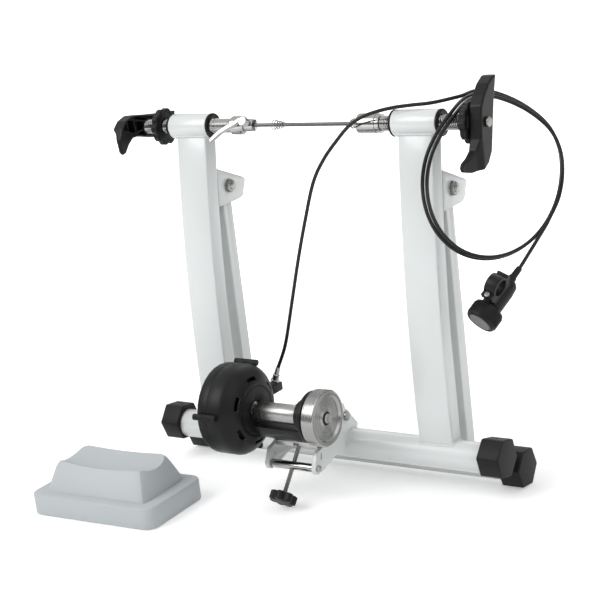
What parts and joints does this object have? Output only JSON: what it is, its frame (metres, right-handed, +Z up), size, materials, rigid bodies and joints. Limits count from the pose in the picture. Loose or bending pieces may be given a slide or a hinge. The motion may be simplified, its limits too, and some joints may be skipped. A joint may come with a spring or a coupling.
{
  "type": "magnetic bike trainer",
  "caption": "folding steel turbo trainer with threaded axle clamps, a magnet drum with roller and flywheel, a cable remote and a front wheel block",
  "frame": {"origin": "on the floor, under the middle of the box that holds the trainer and its riser block", "axes": "+X along the wheel's axle to the trainer's right, +Y to the back, where the rear frame folds out, +Z up"},
  "size_m": [0.658, 0.39, 0.539],
  "materials": {
    "pale_grey_paint": "smooth gloss paint",
    "black_rubber_foot": "satin moulded",
    "cable_housing": "smooth extruded sleeve",
    "black_plastic": "fine satin moulding",
    "black_painted_casting": "satin black over a casting",
    "chrome": "bright plated",
    "zinc_plate": "zinc plated",
    "turned_steel": "turned",
    "magnet_plate": "blackened",
    "blue_grey_plastic": "fine grain moulding"
  },
  "bodies": {
    "root": {"front_base_tube": "pale_grey_paint", "left_upright": "pale_grey_paint", "right_upright": "pale_grey_paint", "left_barrel": "pale_grey_paint", "right_barrel": "pale_grey_paint", "left_bracket": "pale_grey_paint", "right_bracket": "pale_grey_paint", "left_barrel_bush": "black_plastic", "right_barrel_bush": "black_plastic", "left_fold_bolt": "zinc_plate", "right_fold_bolt": "zinc_plate", "yoke_pivot_bolt": "zinc_plate", "cable_lead": "cable_housing", "cable_coil": "cable_housing", "cable_tail": "cable_housing", "remote_housing": "black_plastic"},
    "rear_frame": {"rear_base_tube": "pale_grey_paint", "left_rear_leg": "pale_grey_paint", "right_rear_leg": "pale_grey_paint", "left_rear_foot": "black_rubber_foot", "right_rear_foot": "black_rubber_foot"},
    "left_front_foot": {"left_front_foot": "black_rubber_foot"},
    "right_front_foot": {"right_front_foot": "black_rubber_foot"},
    "left_cup": {"left_cup": "chrome"},
    "left_spindle": {"left_spindle": "chrome", "left_lever": "black_painted_casting", "left_lever_screw": "zinc_plate"},
    "left_lock_knob": {"left_lock_knob": "black_plastic"},
    "right_cup": {"right_cup": "chrome"},
    "right_spindle": {"right_spindle": "chrome", "right_lever": "black_painted_casting", "right_lever_screw": "zinc_plate"},
    "right_lock_knob": {"right_lock_knob": "black_plastic"},
    "skewer": {"skewer": "chrome", "left_skewer_spring": "zinc_plate", "right_skewer_spring": "zinc_plate"},
    "qr_lever": {"qr_lever": "chrome"},
    "skewer_nut": {"skewer_nut": "chrome"},
    "yoke": {"yoke": "chrome", "cradle": "black_plastic", "outer_casing": "black_plastic", "inner_casing": "black_plastic", "fixed_magnet_plate": "magnet_plate", "end_guard": "black_plastic", "left_bearing": "turned_steel", "right_bearing": "turned_steel"},
    "cable_adjuster": {"cable_adjuster": "chrome"},
    "roller_shaft": {"shaft": "turned_steel", "roller": "turned_steel", "rotor": "turned_steel", "flywheel": "turned_steel"},
    "moving_magnet_plate": {"moving_magnet_plate": "magnet_plate"},
    "swivel_pin": {"swivel_pin": "zinc_plate"},
    "trunnion": {"trunnion": "chrome"},
    "star_knob": {"star_knob": "black_plastic", "adjuster_rod": "zinc_plate"},
    "remote_dial": {"remote_dial": "black_plastic"},
    "clamp_strap": {"clamp_strap": "black_plastic"},
    "clamp_screw": {"clamp_screw": "zinc_plate"},
    "riser_block": {"riser_block": "blue_grey_plastic"}
  },
  "joints": [
    {"name": "rear_fold", "type": "hinge", "parent": "root", "child": "rear_frame", "pos_m": [0.032, 0.1263, 0.3974], "axis": [1, 0, 0], "range_deg": [0, 63]},
    {"name": "left_front_foot_turn", "type": "hinge", "parent": "root", "child": "left_front_foot", "pos_m": [0.032, 0.0763, 0.0559], "axis": [1, 0, 0], "continuous": true},
    {"name": "right_front_foot_turn", "type": "hinge", "parent": "root", "child": "right_front_foot", "pos_m": [0.032, 0.0763, 0.0559], "axis": [1, 0, 0], "continuous": true},
    {"name": "left_lever_turn", "type": "hinge", "parent": "left_cup", "child": "left_spindle", "pos_m": [-0.168, 0.0994, 0.4865], "axis": [1, 0, 0], "range_deg": [0, 1080]},
    {"name": "left_cup_slide", "type": "slide", "parent": "root", "child": "left_cup", "axis": [-1, 0, 0], "range_m": [-0.00002, 0.00752]},
    {"name": "left_lock_knob_turn", "type": "hinge", "parent": "left_spindle", "child": "left_lock_knob", "pos_m": [-0.198, 0.0994, 0.4865], "axis": [1, 0, 0], "range_deg": [-720, 720]},
    {"name": "right_lever_turn", "type": "hinge", "parent": "right_cup", "child": "right_spindle", "pos_m": [0.232, 0.0994, 0.4865], "axis": [1, 0, 0], "range_deg": [0, 1080]},
    {"name": "right_cup_slide", "type": "slide", "parent": "root", "child": "right_cup", "axis": [1, 0, 0], "range_m": [-0.00002, 0.00752]},
    {"name": "right_lock_knob_turn", "type": "hinge", "parent": "right_spindle", "child": "right_lock_knob", "pos_m": [0.262, 0.0994, 0.4865], "axis": [1, 0, 0], "range_deg": [-720, 720]},
    {"name": "skewer_turn", "type": "hinge", "parent": "left_cup", "child": "skewer", "pos_m": [-0.048, 0.0994, 0.4865], "axis": [1, 0, 0], "continuous": true},
    {"name": "qr_lever_flip", "type": "hinge", "parent": "skewer", "child": "qr_lever", "pos_m": [-0.0495, 0.0994, 0.4865], "axis": [0, -0.8879, 0.46], "range_deg": [0, 180]},
    {"name": "skewer_nut_turn", "type": "hinge", "parent": "skewer", "child": "skewer_nut", "pos_m": [0.122, 0.0994, 0.4865], "axis": [1, 0, 0], "range_deg": [-1080, 0]},
    {"name": "star_knob_turn", "type": "hinge", "parent": "trunnion", "child": "star_knob", "pos_m": [0.032, -0.04139, 0.0172], "axis": [0, 0.676, 0.7369], "range_deg": [-628, 942]},
    {"name": "trunnion_tilt", "type": "hinge", "parent": "root", "child": "trunnion", "pos_m": [0.032, -0.0103, 0.0511], "axis": [1, 0, 0], "range_deg": [-4.21, 6.3]},
    {"name": "yoke_swing", "type": "hinge", "parent": "root", "child": "yoke", "pos_m": [0.032, 0.0663, 0.0975], "axis": [1, 0, 0], "range_deg": [-6.02, 4.02], "deforming": ["cable_lead"]},
    {"name": "swivel_pin_turn", "type": "hinge", "parent": "yoke", "child": "swivel_pin", "pos_m": [0.032, 0.01201, 0.07542], "axis": [1, 0, 0], "range_deg": [-8.21, 12.3]},
    {"name": "roller_spin", "type": "hinge", "parent": "yoke", "child": "roller_shaft", "pos_m": [0.032, -0.0287, 0.1315], "axis": [1, 0, 0], "continuous": true},
    {"name": "cable_adjuster_turn", "type": "hinge", "parent": "yoke", "child": "cable_adjuster", "pos_m": [-0.0252, 0.0478, 0.142], "axis": [0.3452, 0.075, 0.9355], "range_deg": [-720, 720]},
    {"name": "magnet_plate_turn", "type": "hinge", "parent": "yoke", "child": "moving_magnet_plate", "pos_m": [-0.0268, -0.0287, 0.1315], "axis": [1, 0, 0], "range_deg": [-0.01, 36.01]},
    {"name": "remote_dial_turn", "type": "hinge", "parent": "root", "child": "remote_dial", "pos_m": [0.312, 0.1363, 0.292], "axis": [-0.309, -0.7371, -0.601], "range_deg": [0, 180]},
    {"name": "clamp_strap_open", "type": "hinge", "parent": "root", "child": "clamp_strap", "pos_m": [0.30925, 0.09828, 0.29429], "axis": [-0.926, 0.089, 0.367], "range_deg": [0, 90]},
    {"name": "clamp_screw_turn", "type": "hinge", "parent": "root", "child": "clamp_screw", "pos_m": [0.29884, 0.07344, 0.27403], "axis": [0.217, -0.6699, 0.71], "range_deg": [-720, 720]},
    {"name": "riser_block_lift", "type": "slide", "parent": "root", "child": "riser_block", "axis": [0, 0, 1], "range_m": [0, 0.3]}
  ],
  "couplings": [
    {"joint": "yoke_swing", "follows": "star_knob_turn", "ratio": -0.0063662},
    {"joint": "trunnion_tilt", "follows": "star_knob_turn", "ratio": 0.0066718},
    {"joint": "swivel_pin_turn", "follows": "star_knob_turn", "ratio": 0.013038},
    {"joint": "left_cup_slide", "follows": "left_lever_turn", "m_per_rad": 0.00039789},
    {"joint": "right_cup_slide", "follows": "right_lever_turn", "m_per_rad": 0.00039789},
    {"joint": "magnet_plate_turn", "follows": "remote_dial_turn", "ratio": 0.2}
  ]
}
